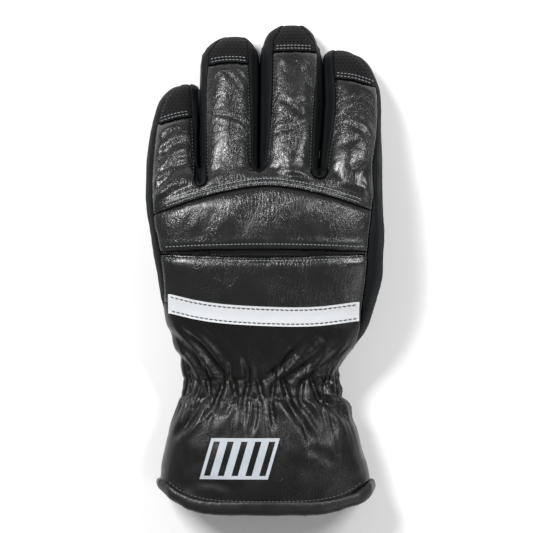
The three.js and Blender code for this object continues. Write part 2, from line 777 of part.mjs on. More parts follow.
function palm() {
  return handWall.intersect(region(palmOutline())).subtract(backAndGap).subtract(thumbCavity);
}

// The thumb's hollow opens into the palm through a hole of the same size
function thumb() {
  const around = [HAND_SIDES, CUFF_SIDES].map((sides) => (
    handForm(0, HAND_SECTIONS.last, SEAM_GAP, sides)
  ));
  return thumbForm(0).subtract(thumbCavity).subtract(joinAll(around));
}

// The cuff's back and palm sides lap by less than the gap beside them, so they join in one piece
function cuff() {
  const lap = SEAM_GAP / 4;
  const upper = region(cuffOutline(cuffBackTop())).intersect(upperHalf(lap));
  const lower = region(cuffOutline(cuffPalmTop())).subtract(upperHalf(-lap));
  return cuffWall.intersect(upper.add(lower)).subtract(prism(hemOutline(HEM_WIDTH + SEAM_GAP)));
}

// The rolled hem stands proud of the cuff and is rounded at its edge
function cuffHem() {
  const rings = HEM_PROFILE.stations.map((along) => {
    const { bulge } = HEM_PROFILE.at(along);
    return handRing((along * HEM_WIDTH) / GLOVE_LENGTH, bulge * HEM_BULGE, HAND_SIDES);
  });
  return loft(rings).subtract(cuffCavity).intersect(prism(hemOutline(HEM_WIDTH)));
}

const LEATHER = { color: 0x1b1b1d, roughness: 0.42, metalness: 0 };
const SIDE_LEATHER = { color: 0x131317, roughness: 0.75, metalness: 0 };
const CUFF_LEATHER = { color: 0x161615, roughness: 0.5, metalness: 0 };
const CAP_LEATHER = { color: 0x1f2120, roughness: 0.8, metalness: 0 };
const TAPE = { color: 0xc9ccd1, roughness: 0.35, metalness: 0.1 };
const PRINT = { color: 0xaab4c2, roughness: 0.55, metalness: 0 };

const pieces = {
  finger_backs: [backPanel(fingerBacksOutline()), LEATHER],
  knuckle_panel: [knucklePanel(), LEATHER],
  flex_pleat: [flexPleat(), LEATHER],
  hand_back_panel: [handBackPanel(), LEATHER],
  reflective_tape: [reflectiveTape(), TAPE],
  cuff: [cuff(), CUFF_LEATHER],
  cuff_hem: [cuffHem(), CUFF_LEATHER],
  cuff_print: [cuffPrint(), PRINT],
  outer_side_panel: [handWall.intersect(region(sidePanelOutline(-1))), SIDE_LEATHER],
  thumb_side_panel: [handWall.intersect(region(sidePanelOutline(1))), SIDE_LEATHER],
  palm: [palm(), CAP_LEATHER],
  thumb: [thumb(), CAP_LEATHER],
};
for (const name of FINGER_NAMES) {
  pieces[`fingertip_cap_${name}`] = [backPanel(capOutline(name)), CAP_LEATHER];
}
for (const crotch of CROTCHES) {
  const name = `fourchette_${crotch.between.join('_')}`;
  pieces[name] = [handWall.intersect(region(fourchetteOutline(crotch))), SIDE_LEATHER];
}

// Each piece as a mesh of its own
const glove = new THREE.Group();
for (const [name, [solid, look]] of Object.entries(pieces)) {
  const { vertProperties, triVerts } = wholePiece(solid).getMesh();
  const geometry = new THREE.BufferGeometry();
  geometry.setAttribute('position', new THREE.BufferAttribute(vertProperties, 3));
  geometry.setIndex(new THREE.BufferAttribute(triVerts, 1));
  geometry.computeVertexNormals();
  const mesh = new THREE.Mesh(geometry, new THREE.MeshStandardMaterial(look));
  mesh.name = name;
  glove.add(mesh);
}

// The origin lies on the ground under the middle of the glove
const box = new THREE.Box3().setFromObject(glove);
const ground = box.getCenter(new THREE.Vector3()).setZ(box.min.z);
glove.position.sub(ground);

export default glove;
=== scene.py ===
# %% [markdown]
# # A firefighter's glove
# The glove lies palm down. Its parts are cut from black leather and sewn together.
# The frame gives each part as a plain faceted wall. Here every part gets a soft surface, seams, folds and
# a finish. We start by loading the frame.

from itertools import product

import bpy
import numpy as np
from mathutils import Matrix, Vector
from mathutils.bvhtree import BVHTree
from mathutils.kdtree import KDTree


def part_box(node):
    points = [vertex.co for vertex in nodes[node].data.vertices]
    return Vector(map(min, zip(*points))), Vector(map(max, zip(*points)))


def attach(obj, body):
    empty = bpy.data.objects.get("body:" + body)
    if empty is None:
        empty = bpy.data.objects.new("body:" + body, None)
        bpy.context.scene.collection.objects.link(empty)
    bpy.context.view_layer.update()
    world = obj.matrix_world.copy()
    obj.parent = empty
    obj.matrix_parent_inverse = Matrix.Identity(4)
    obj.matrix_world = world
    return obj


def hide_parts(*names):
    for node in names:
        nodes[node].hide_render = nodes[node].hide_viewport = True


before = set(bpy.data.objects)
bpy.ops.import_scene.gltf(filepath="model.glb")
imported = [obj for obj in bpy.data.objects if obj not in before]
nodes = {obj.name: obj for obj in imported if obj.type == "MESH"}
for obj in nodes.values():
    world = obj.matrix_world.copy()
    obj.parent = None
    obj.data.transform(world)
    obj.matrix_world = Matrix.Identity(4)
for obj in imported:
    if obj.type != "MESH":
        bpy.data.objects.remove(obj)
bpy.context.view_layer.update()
MM = 0.001


# %% [markdown]
# Most operators act on what is selected. The frame arrives selected, so one helper selects a single object.
# Others read and write the points of a mesh as a table in millimetres, which is how a maker measures leather,
# and rebuild a part's skin from even squares, because only an evenly divided skin can carry folds.

# %% Helpers for objects and points
def only(obj):
    """Selects this object alone and makes it the active one."""
    bpy.ops.object.select_all(action="DESELECT")
    obj.select_set(True)
    bpy.context.view_layer.objects.active = obj
    return obj


def new_object(name, mesh):
    obj = bpy.data.objects.new(name, mesh)
    bpy.context.scene.collection.objects.link(obj)
    return obj


def points(obj):
    co = np.empty(len(obj.data.vertices) * 3)
    obj.data.vertices.foreach_get("co", co)
    return co.reshape(-1, 3) / MM


def set_points(obj, co):
    obj.data.vertices.foreach_set("co", (co * MM).ravel())
    obj.data.update()


def normals_of(obj):
    return np.array([v.normal for v in obj.data.vertices])


def softly_shaded(obj):
    only(obj)
    bpy.ops.object.shade_smooth()
    return obj


def apply_modifier(obj, kind, **settings):
    only(obj)
    modifier = obj.modifiers.new(kind.lower(), kind)
    for key, value in settings.items():
        setattr(modifier, key, value)
    bpy.ops.object.modifier_apply(modifier=modifier.name)


def joined(objects):
    """Joins these objects into the first of them."""
    bpy.ops.object.select_all(action="DESELECT")
    for obj in objects:
        obj.select_set(True)
    bpy.context.view_layer.objects.active = objects[0]
    bpy.ops.object.join()
    return objects[0]


def copy_of(node, name):
    """A copy of a frame part whose loose triangles are merged into one skin."""
    obj = only(new_object(name, nodes[node].data.copy()))
    obj.data.materials.clear()
    bpy.ops.object.mode_set(mode="EDIT")
    bpy.ops.mesh.select_all(action="SELECT")
    bpy.ops.mesh.remove_doubles(threshold=0.00001)
    bpy.ops.object.mode_set(mode="OBJECT")
    return obj


def remesh(obj, voxel):
    """Rebuilds the skin from even squares of this size in millimetres."""
    only(obj)
    obj.data.remesh_voxel_size = voxel * MM
    obj.data.use_remesh_fix_poles = False
    bpy.ops.object.voxel_remesh()
    return obj


# %% [markdown]
# Leather has no facets. A smooth surface comes from moving each point towards the middle of its neighbours.
# Done alone that shrinks the form, so every step in is followed by a slightly longer step out.
# The long curves stay and the short ones, such as facets, fade.

# %% Smoothing
STEP_IN, STEP_OUT = 0.5, -0.53


def neighbour_means(obj):
    """A function that gives the mean of each point's neighbours for any table of values."""
    edges = np.empty(len(obj.data.edges) * 2, int)
    obj.data.edges.foreach_get("vertices", edges)
    a, b = edges.reshape(-1, 2).T
    count = len(obj.data.vertices)
    near = np.maximum(1, np.bincount(np.concatenate([a, b]), minlength=count))

    def means(values):
        columns = []
        for column in values.reshape(count, -1).T:
            total = np.bincount(a, column[b], count) + np.bincount(b, column[a], count)
            columns.append(total / near)
        return np.stack(columns, 1).reshape(values.shape)

    return means


def smooth(obj, steps, step_out=STEP_OUT):
    """Evens the skin out; with a step out of 0 it shrinks too."""
    means = neighbour_means(obj)
    co = points(obj)
    for _ in range(steps):
        co += STEP_IN * (means(co) - co)
        co += step_out * (means(co) - co)
    set_points(obj, co)


def evened_copy(node, name, voxel, steps):
    """A copy of a frame part that is rebuilt and evened out where it is."""
    piece = remesh(copy_of(node, name), voxel)
    smooth(piece, steps)
    return piece


# %% [markdown]
# All leather parts together make one hand. We join copies of them into a single smooth body, the last.
# A last is the form that a glove is shaped on. Every part is later laid on it, so neighbours line up.
# Strong smoothing takes the facets out, but it makes the last thinner too. So we note what each point
# loses, spread that over its surroundings until only the slow share is left, and give this share back.

# %% The last
NOT_ON_THE_LAST = ("reflective_tape", "cuff_print", "flex_pleat", "thumb")
LAST_VOXEL, EVEN_STEPS, STRONG_STEPS, SPREAD_STEPS = 1.2, 60, 25, 40
last = joined([copy_of(name, "last_" + name) for name in nodes if name not in NOT_ON_THE_LAST])
remesh(last, LAST_VOXEL)
smooth(last, EVEN_STEPS)
before = points(last)
smooth(last, STRONG_STEPS, step_out=0)
lost = before - points(last)
means = neighbour_means(last)
for _ in range(SPREAD_STEPS):
    lost = means(lost)
set_points(last, points(last) + lost)
print("last:", len(last.data.polygons), "faces")

# %% [markdown]
# The last is hollow, and only its outer skin may be raised. A face lies outside if a straight line from it
# leaves the glove. We try six ways: four halfway to up, down and the sides, and two almost upright.

# %% Which faces of the last lie outside
def tree_of(*objects):
    """A search tree over the triangles of these objects."""
    corners, faces = [], []
    for obj in objects:
        start = len(corners)
        obj.data.calc_loop_triangles()
        corners.extend(v.co.copy() for v in obj.data.vertices)
        faces.extend([start + i for i in t.vertices] for t in obj.data.loop_triangles)
    return BVHTree.FromPolygons(corners, faces)


last_tree = tree_of(last)
UP, SIDE = Vector((0, 0, 1)), Vector((1, 0, 0))
CLEAR_OF_SKIN, SLIGHT = 0.3, 0.15


def sees_out(place, normal):
    """True if a straight line from here leaves the glove without meeting it again."""
    start = place + normal * CLEAR_OF_SKIN * MM
    ways = [normal + way for way in (UP, -UP, SIDE, -SIDE)]
    ways += [normal * SLIGHT + way for way in (UP, -UP)]
    return any(last_tree.ray_cast(start, way.normalized())[0] is None for way in ways)


last_outside = np.array([sees_out(t.center, t.normal) for t in last.data.loop_triangles])
print("outer share of the last:", round(last_outside.mean(), 2))

# %% [markdown]
# Folds and creases need smooth random values. Random heights on a grid of cubes are blended inside each cube,
# so the same place always gives the same value and the glove comes out the same in every run.
# Two curves shape them: a soft step for what starts and ends, and a bell for ridges, beads and grooves.

# %% Smooth random values and curves
SCRAMBLE, GRID_WAY, SEED_STEP = 43758.5453, np.array([127.1, 311.7, 74.7]), 11.3
CREASE_BENDS, CREASE_WIDTH = 0.4, 0.16


def fade(values, start, end):
    """0 at start, 1 at end and a soft step between them."""
    t = np.clip((values - start) / (end - start), 0, 1)
    return t * t * (3 - 2 * t)


def bell(values, middle, width):
    """1 in the middle and down to 0 on both sides."""
    return np.exp(-(((values - middle) / width) ** 2))


def scrambled(values):
    """Values from 0 to 1 that look random and are the same each time for the same input."""
    mixed = np.sin(values) * SCRAMBLE
    return mixed - np.floor(mixed)


def random_field(places, size, seed):
    """Values from -1 to 1 that change over about this many millimetres."""
    cells = places / np.asarray(size) + SEED_STEP * seed
    low = np.floor(cells)
    part = cells - low
    part = part * part * (3 - 2 * part)
    total = np.zeros(len(places))
    for corner in product((0, 1), repeat=3):
        share = np.prod(np.where(corner, part, 1 - part), axis=1)
        total += share * (2 * scrambled((low + corner) @ GRID_WAY) - 1)
    return total


def creases(places, size, seed):
    """0 on even leather and down to -1 along thin winding lines, where a random field passes zero."""
    bends = random_field(places, np.asarray(size) / 2, seed + 1)
    field = random_field(places, size, seed) + CREASE_BENDS * bends
    return -bell(field, 0, CREASE_WIDTH)


def turned(places, degrees):
    """The places in axes that are turned about the vertical, for folds that run at an angle."""
    c, s = np.cos(np.radians(degrees)), np.sin(np.radians(degrees))
    x, y, z = places.T
    return np.stack([c * x + s * y, c * y - s * x, z], 1)


# %% [markdown]
# Seams are lines on the leather as seen from above. The frame knows them: they are the edges of its parts.
# For each place across the hand we cut a part's wires and keep the lowest or the highest crossing.

# %% Seam lines from the frame
def edge_line(node, side, stations, axis=0):
    """The part's lowest (side -1) or highest (side 1) edge in plan.

    The stations count across the hand (axis 0) or along it (axis 1).
    """
    mesh = nodes[node].data
    co = np.array([v.co for v in mesh.vertices]) / MM
    ends = np.array([e.vertices for e in mesh.edges])
    a, b = co[ends[:, 0]], co[ends[:, 1]]
    found = []
    for s in stations:
        crossing = (a[:, axis] - s) * (b[:, axis] - s) < 0
        if not crossing.any():
            continue
        p, q = a[crossing], b[crossing]
        t = (s - p[:, axis]) / (q[:, axis] - p[:, axis])
        other = p[:, 1 - axis] + t * (q[:, 1 - axis] - p[:, 1 - axis])
        value = side * (side * other).max()
        found.append((s, value) if axis == 0 else (value, s))
    return np.array(found)


def across(left, right):
    return np.linspace(left, right, max(3, int((right - left) / STATION_STEP)))


FINGERS = ("pinky", "ring", "middle", "index")
CAP_SPANS = {name: [corner.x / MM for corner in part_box("fingertip_cap_" + name)] for name in FINGERS}
CAP_MARGIN, STATION_STEP = 1.5, 3
ARCH_ROWS, CAP_ROWS, LIP_ROW = (1.8, 4.0), (1.5, 3.3), 2.5  # where the stitches of the back lie
LINES = {
    "arch": edge_line("finger_backs", -1, across(-57, 55)),
    "pleat_top": edge_line("knuckle_panel", -1, across(-58, 57)),
    "pleat_low": edge_line("hand_back_panel", 1, across(-58, 57)),
    "tape_top": edge_line("reflective_tape", 1, across(-55, 53)),
    "tape_low": edge_line("reflective_tape", -1, across(-55, 53)),
    "hem": edge_line("cuff", -1, across(-58, 58)),
}
for name, (left, right) in CAP_SPANS.items():
    stations = across(left + CAP_MARGIN, right - CAP_MARGIN)
    LINES["cap_" + name] = edge_line("fingertip_cap_" + name, -1, stations)
print("seam lines:", {name: len(line) for name, line in LINES.items()})


def away_from(places, line):
    """The distance in plan to a line, negative on its lower side."""
    best = np.full(len(places), 1e9)
    for a, b in zip(line, line[1:]):
        along = b - a
        t = np.clip(((places[:, :2] - a) @ along) / (along @ along), 0, 1)
        best = np.minimum(best, np.linalg.norm(places[:, :2] - a - t[:, None] * along, axis=1))
    level = np.interp(places[:, 0], line[:, 0], line[:, 1])
    return np.where(places[:, 1] < level, -best, best)


# %% [markdown]
# Now one helper makes a leather part. It copies the frame's part, rebuilds it from small squares and lays
# both of its faces on the last, so that the facets vanish. Points on the cut edges stay where they are.
# It also measures how far each point is from the part's own edge, because leather rolls down at a seam.
# A second helper then raises the outer face by a height in millimetres that each part works out for itself.

# %% Lay a part on the last
HOLD, SAME_WAY, WALL, FAR_FROM_EDGE = 1.1, 0.6, 1.8, 50.0
UPWARD, LOOKS_UP, EVEN_WAYS, SOFTENING = 0.8, 0.3, 4, 2


def feet_on_last(co):
    """Each place's nearest place on the last, the way out there and the number of that face."""
    found = [last_tree.find_nearest(Vector(p * MM)) for p in co]
    return np.array([f[0] for f in found]) / MM, np.array([f[1] for f in found]), [f[2] for f in found]


def leather(node, voxel):
    """The part laid on the last, and what raise_by has to know about each of its points."""
    piece = remesh(copy_of(node, "glove_" + node), voxel)
    co = points(piece)
    foot, out, faces = feet_on_last(co)
    gap = np.linalg.norm(foot - co, axis=1)
    on_face = (gap < HOLD) & ((normals_of(piece) * out).sum(1) > SAME_WAY)
    outside = last_outside[faces]
    co[on_face] = foot[on_face]
    set_points(piece, co)
    walls = np.flatnonzero(~on_face)
    tree = KDTree(len(walls))
    for i, wall in enumerate(walls):
        tree.insert(co[wall], i)
    tree.balance()
    inset = np.array([tree.find(p)[2] for p in co]) if len(walls) else np.full(len(co), FAR_FROM_EDGE)
    depth = np.clip(1 - gap / WALL, 0, 1) * outside
    depth[on_face & outside] = 1
    return piece, {"co": co, "out": out, "inset": inset, "depth": depth}


def raise_by(piece, shape, height):
    """Moves the outer face outwards, mostly upwards where it looks up, and softens what is left of steps."""
    out = shape["out"]
    means = neighbour_means(piece)
    for _ in range(EVEN_WAYS):
        out = means(out)
    out[:, 2] += UPWARD * (out[:, 2] > LOOKS_UP)
    out /= np.maximum(0.01, np.linalg.norm(out, axis=1))[:, None]
    co = shape["co"] + out * (height * shape["depth"])[:, None]
    for _ in range(SOFTENING):
        co += STEP_IN * (means(co) - co) * shape["depth"][:, None]
    co[:, 2] = np.maximum(co[:, 2], 0)
    set_points(piece, co)
    return softly_shaded(piece)


def rolled_edge(inset, crown, sink, width, reach):
    """A seam valley at the edge that rises to a soft crown further in."""
    return crown * (1 - np.exp(-inset / reach)) - sink * bell(inset, 0, width)


def seam_dents(distance, rows, depth, width):
    """The grooves that rows of stitches pull into the leather, at these distances from a line."""
    return -sum(depth * bell(distance, row, width) for row in rows)


# %% [markdown]
# Worn leather keeps its folds. The deepest ones are listed here one by one, from end to end in millimetres,
# with a width and a depth, because it is these that the eye remembers. A fold is a valley between two soft
# ridges. It bows a little, fades in and out at its ends, and stays on the back of the glove.

# %% Single folds
# each row: x and y of one end, x and y of the other, width and depth
FINGER_FOLDS = [
    (-64, 45, -43, 64, 2.2, 0.9),
    (-56, 61, -45, 67, 2.0, 0.6),
    (-62, 39, -41, 49, 2.0, 0.6),
    (-61, 66, -47, 76, 2.6, 0.9),
    (-60, 74, -50, 82, 2.4, 0.7),
    (-62, 55, -50, 62, 1.8, 0.6),
    (-33, 91, -11, 85, 1.2, 0.35),
    (-20, 119, -11, 109, 1.4, 0.35),
    (-24, 117, -14, 104, 1.4, 0.3),
    (-34, 52, -26, 59, 1.6, 0.4),
    (5, 79, 18, 82, 1.6, 0.4),
    (9, 100, 21, 90, 1.8, 0.45),
    (-2, 58, 5, 68, 1.8, 0.3),
    (12, 54, 28, 51, 1.6, 0.5),
    (45, 88, 53, 96, 1.6, 0.4),
    (50, 84, 62, 76, 2.0, 0.5),
    (42, 70, 58, 77, 2.2, 0.25),
    (46, 55, 64, 68, 2.6, 0.2),
    (54, 49, 64, 59, 2.0, 0.15),
    (46, 47, 60, 43, 1.8, 0.3),
]
KNUCKLE_FOLDS = [
    (-47, 22, -34, 36, 3.0, 0.5),
    (-39, 20, -25, 35, 3.4, 0.5),
    (-15, 21, -4, 38, 4.2, 0.55),
    (12, 22, 22, 41, 4.2, 0.5),
    (34, 20, 46, 34, 3.2, 0.3),
]
CUFF_FOLDS = [
    (-49, -36, -23, -66, 2.4, 1.5),
    (-57, -36, -32, -67, 2.2, 1.2),
    (-53, -49, -39, -68, 1.8, 1.0),
    (-41, -34, -19, -59, 2.6, 0.8),
    (22, -42, -2, -66, 2.4, 1.3),
    (34, -46, 8, -67, 2.4, 1.1),
    (42, -48, 19, -68, 2.0, 0.9),
    (45, -57, 33, -68, 1.8, 0.8),
    (-12, -52, -11, -67, 1.6, 0.9),
    (-35, -74, -54, -99, 2.4, 1.3),
    (-28, -74, -35, -88, 1.8, 0.9),
    (-20, -75, -24, -86, 1.6, 0.8),
    (-6, -75, -8, -96, 1.8, 1.0),
    (1, -76, 5, -93, 1.8, 0.8),
    (10, -75, 27, -101, 2.6, 1.4),
    (18, -75, 31, -93, 2.2, 1.0),
    (29, -75, 52, -91, 2.4, 1.2),
    (39, -72, 56, -85, 2.0, 0.9),
    (25, -105, 40, -113, 3.0, 0.5),
    (-40, -124, -17, -129, 3.0, 0.4),
]


FOLD_BOW, BACK_LEVEL = 0.06, 15


def folds(places, table):
    """The height in millimetres that these folds give each place."""
    height = np.zeros(len(places))
    for x, y, to_x, to_y, width, depth in table:
        start = np.array([x, y], float)
        along = np.array([to_x, to_y]) - start
        length = np.linalg.norm(along)
        along /= length
        offset = places[:, :2] - start
        s = offset @ along
        bow = FOLD_BOW * length * np.sin(np.pi * np.clip(s / length, 0, 1))
        t = (offset[:, 0] * -along[1] + offset[:, 1] * along[0] - bow) / width
        window = fade(s, -0.15 * length, 0.25 * length) * fade(s, 1.15 * length, 0.7 * length)
        profile = -bell(t, 0, 1) + 0.5 * bell(t, 1.7, 1) + 0.4 * bell(t, -1.9, 1.3)
        height += depth * profile * window * (places[:, 2] > BACK_LEVEL)
    return height


# %% [markdown]
# The back of all four fingers is one piece of goatskin over padding. It is laid on the last and raised:
# a crown between the seams with a small bead beside each, a flat stitched strip over the knuckle arch,
# long soft folds and fine creases. The leather goes down again where it slips under the fingertip caps.

# %% Finger backs
SEAM_BEAD, FINGER_FOLD_GAIN = 0.45, 1.3
finger_backs, shape = leather("finger_backs", 0.75)
co, inset = shape["co"], shape["inset"]
arch = away_from(co, LINES["arch"])
under_cap = np.min([np.abs(away_from(co, LINES["cap_" + name])) for name in FINGERS], axis=0)
padded = fade(arch, 4.2, 10)
height = rolled_edge(inset, 1.5, 0.9, 1.5, 4.5) * padded - 0.5 * bell(inset, 0, 1.2) * (1 - padded)
height += SEAM_BEAD * bell(inset, 1.3, 0.8) * padded
height += SEAM_BEAD * (1 - padded) + seam_dents(arch, ARCH_ROWS, 0.45, 0.6)
height -= 0.6 * bell(under_cap, 0, 1.6)
inner = fade(inset, 1, 5) * padded
swell = 0.70 * random_field(co, (10, 17, 13), 1)
ripple = 0.08 * random_field(turned(co, 35), (4, 9, 8), 2)
height += inner * (swell + ripple)
long_creases = 0.20 * creases(turned(co, -40), (4, 10, 9), 3)
short_creases = 0.12 * creases(turned(co, 20), (3, 6, 5), 5)
height += inner * (long_creases + short_creases)
height += fade(inset, 0.5, 3) * folds(co, FINGER_FOLDS) * FINGER_FOLD_GAIN
raise_by(finger_backs, shape, height)
print("finger backs:", len(finger_backs.data.polygons), "faces")

# %% [markdown]
# Below the arch lies the padded knuckle panel, then the pleat that opens when the hand makes a fist,
# then the panel down to the tape. The lips of the pleat are folded over and stitched, so they stand up.
# The floor of the pleat is lowered in the middle of the hand, where the slit looks deepest.

# %% Panels of the back
KNUCKLE_FOLD_GAIN, PLEAT_DEPTH = 0.6, 3.5
knuckle_panel, shape = leather("knuckle_panel", 0.9)
co, inset = shape["co"], shape["inset"]
arch, lip = -away_from(co, LINES["arch"]), away_from(co, LINES["pleat_top"])
height = rolled_edge(inset, 1.3, 0.5, 1.6, 7) * fade(lip, -2, 8)
height += 1.0 * (1 - fade(lip, 2, 8)) + seam_dents(lip, (LIP_ROW,), 0.45, 0.7)
height -= 0.7 * bell(arch, 0, 2.0)
inner = fade(inset, 1, 7) * fade(lip, 2, 9)
swell = 0.6 * random_field(turned(co, -30), (11, 24, 22), 7)
height += inner * (swell + 0.14 * creases(turned(co, -35), (4, 8, 8), 8))
height += KNUCKLE_FOLD_GAIN * inner * folds(co, KNUCKLE_FOLDS)
raise_by(knuckle_panel, shape, height)

hand_back_panel, shape = leather("hand_back_panel", 0.9)
co, inset = shape["co"], shape["inset"]
lip = -away_from(co, LINES["pleat_low"])
height = rolled_edge(inset, 0.7, 0.4, 1.5, 7) + seam_dents(lip, (1.9,), 0.5, 0.6)
height += 1.1 * bell(lip, 0, 1.1) + 0.7 * bell(lip, 6, 5)
inner = fade(inset, 1, 8) * fade(lip, 2, 8)
swell = 0.35 * random_field(turned(co, 15), (20, 8, 8), 9)
height += inner * (swell + 0.14 * creases(turned(co, 60), (4, 9, 9), 10))
raise_by(hand_back_panel, shape, height)

flex_pleat = evened_copy("flex_pleat", "glove_flex_pleat", 0.8, 12)
co = points(flex_pleat)
co[:, 2] -= PLEAT_DEPTH * fade(np.abs(co[:, 0] + 1), 56, 30)
set_points(flex_pleat, co)
softly_shaded(flex_pleat)
print("panels:", [len(o.data.polygons) for o in (knuckle_panel, hand_back_panel, flex_pleat)])

# %% [markdown]
# The fingertip caps are dotted leather folded under at the finger and held by two rows of stitches.
# The folded edge is thick, so it stands up over the finger's own leather.

# %% Fingertip caps
caps = {}
for name in FINGERS:
    cap, shape = leather("fingertip_cap_" + name, 0.8)
    fold = away_from(shape["co"], LINES["cap_" + name])
    height = 0.55 * bell(fold, 0, 3.2) + seam_dents(fold, CAP_ROWS, 0.35, 0.55)
    height += rolled_edge(shape["inset"], 0.4, 0.35, 1.0, 4)
    caps[name] = raise_by(cap, shape, height)
print("caps:", [len(cap.data.polygons) for cap in caps.values()])

# %% [markdown]
# Strips of soft matte leather close the gaps between the fingers, and two more run down the hand's sides.
# A strip between fingers bends round the slit as a U. Away from the slit it is laid on the last and pushed
# a little into the seams. The two walls that face each other are made fuller until they nearly meet, and a
# groove carries the slit on at the crotch. The side panels and the palm are leather parts like the others.

# %% Strips between the fingers and side panels
SLITS = {
    "fourchette_pinky_ring": [(-38.5, 49.5), (-38.6, 120)],
    "fourchette_ring_middle": [(-3.5, 57.5), (-3.4, 130)],
    "fourchette_middle_index": [(31.6, 54), (31.9, 62), (33.4, 79), (34.5, 98), (34.4, 112), (34, 130)],
}
FULLER, OVERLAP, SEAM_COVER = 0.75, 0.2, 0.4
SLIT_REACH, GROOVE_WIDTH, GROOVE_DEPTH, CROTCH_LIFT = 2.6, 0.9, 5.5, 1.1
strips = {}
for name, slit in SLITS.items():
    strip = evened_copy(name, "glove_" + name, 0.7, 30)
    co = points(strip)
    normals = normals_of(strip)
    slit = np.array(slit)
    aside = co[:, 0] - np.interp(co[:, 1], slit[:, 1], slit[:, 0])
    near = fade(np.abs(aside), SLIT_REACH - 1, SLIT_REACH)
    foot, out, _ = feet_on_last(co)
    gap = np.linalg.norm(foot - co, axis=1)
    close = near * fade(gap, WALL, WALL - 1) * fade((normals * out).sum(1), 0.3, 0.7)
    co += (foot + OVERLAP * out - co) * close[:, None]
    facing = (np.abs(aside) < SLIT_REACH) & (np.abs(normals[:, 0]) > 0.3)
    co += SEAM_COVER * near[:, None] * normals
    co[facing, 0] -= np.sign(aside[facing]) * FULLER
    groove = bell(aside, 0, GROOVE_WIDTH) * fade(co[:, 1], slit[0, 1] - 1, slit[0, 1] + 2.5)
    co[:, 2] += (CROTCH_LIFT - GROOVE_DEPTH * groove) * fade(co[:, 1], 67, 60)
    set_points(strip, co)
    smooth(strip, 2, step_out=0)
    strips[name] = softly_shaded(strip)
for name in ("outer_side_panel", "thumb_side_panel"):
    strip, shape = leather(name, 1.0)
    height = rolled_edge(shape["inset"], 0.9, 0.6, 1.4, 5)
    height += 0.3 * fade(shape["inset"], 1, 6) * random_field(shape["co"], (9, 15, 9), 12)
    strips[name] = raise_by(strip, shape, height)
palm, shape = leather("palm", 1.3)
height = rolled_edge(shape["inset"], 0.4, 0.5, 1.6, 6)
raise_by(palm, shape, height + 0.35 * fade(shape["inset"], 1, 6) * random_field(shape["co"], 14, 13))
thumb = softly_shaded(evened_copy("thumb", "glove_thumb", 1.2, 30))
print("strips:", [len(o.data.polygons) for o in strips.values()], "palm:", len(palm.data.polygons))

# %% [markdown]
# An elastic is sewn inside the cuff at the wrist, and the leather bunches into puckers over it.
# Each pucker is a rounded ridge with a sharp valley beside it. Ridges are highest between the elastic's two
# stitch rows, lean one way and the other, and run out at their own distances above and below.
# A point's place round the cuff is an angle, so the ridges keep an even pitch also at the sides.

# %% Cuff
ELASTIC_ROWS = (-66.3, -74.2)
PUCKERS, PUCKER_HEIGHT, LEAN, ZIGZAG = 38, 3.6, 0.26, 3.4
CUFF_FOLD_GAIN, BAND = 1.5, 3


def turn_round_the_cuff(co):
    """The angle round the cuff from the middle of its back, in whole turns."""
    bins = np.round(co[:, 1] / BAND).astype(int)
    first = bins.min()
    low, high, top = (np.full(bins.max() - first + 1, value) for value in (1e9, -1e9, -1e9))
    np.minimum.at(low, bins - first, co[:, 0])
    np.maximum.at(high, bins - first, co[:, 0])
    np.maximum.at(top, bins - first, co[:, 2])
    stations = (np.arange(len(low)) + first) * BAND
    low, high, top = (np.interp(co[:, 1], stations, values) for values in (low, high, top))
    half, middle = (high - low) / 2, (high + low) / 2
    return np.arctan2((co[:, 0] - middle) / half, co[:, 2] / (top / 2) - 1) / (2 * np.pi)


cuff, shape = leather("cuff", 0.85)
co, inset = shape["co"], shape["inset"]
turns = turn_round_the_cuff(co)
wander = 0.22 * random_field(np.stack([turns * 280, co[:, 1] / 3, 0 * turns], 1), 17, 21)
phase = turns * PUCKERS + wander
between = np.clip((co[:, 1] - np.mean(ELASTIC_ROWS)) / (ELASTIC_ROWS[0] - ELASTIC_ROWS[1]), -1, 1)
phase += LEAN * between * np.cos(np.pi * phase)
ridge = np.abs(np.sin(np.pi * phase)) ** 0.8
own = scrambled(np.floor(phase) * 12.9898)
bow = ZIGZAG * (ridge - 0.5)
upper, lower = ELASTIC_ROWS[0] + bow, ELASTIC_ROWS[1] - bow
above = np.exp(-((np.maximum(0, co[:, 1] - upper) / (5 + 9 * own)) ** 1.3))
below = np.exp(-((np.maximum(0, lower - co[:, 1]) / (6 + 11 * (1 - own))) ** 1.3))
lying = fade(co[:, 2], 1, 8)
pinch = bell(co[:, 1], upper, 1.3) + bell(co[:, 1], lower, 1.3)
height = PUCKER_HEIGHT * (0.75 + 0.4 * own) * (ridge * (1 - 0.25 * pinch) - 0.62) * above * below * lying
tape_side = np.abs(co[:, 1] - np.interp(co[:, 0], LINES["tape_low"][:, 0], LINES["tape_low"][:, 1]))
free = fade(tape_side, 1, 8) * fade(inset, 1, 8)
height += free * folds(co, CUFF_FOLDS) * CUFF_FOLD_GAIN
swell = 0.6 * random_field(turned(co, 20), (16, 16, 16), 22)
height += free * (swell + 0.25 * random_field(turned(co, -30), (5, 11, 8), 23))
height += free * 0.28 * creases(turned(co, 25), (6, 11, 9), 24) * fade(np.abs(co[:, 1] + 50), 30, 6)
height += rolled_edge(inset, 0.3, 0.2, 1.5, 6)
raise_by(cuff, shape, height)
print("cuff:", len(cuff.data.polygons), "faces,", PUCKERS, "puckers")

# %% [markdown]
# The leather is rolled outwards at the mouth and stitched just above the roll. The frame's hem has the round
# shape, so here it is only made fuller, except where it lies on the ground, and closed up to the cuff.
# Its right corner stands out a little further, and its middle lies a little higher.

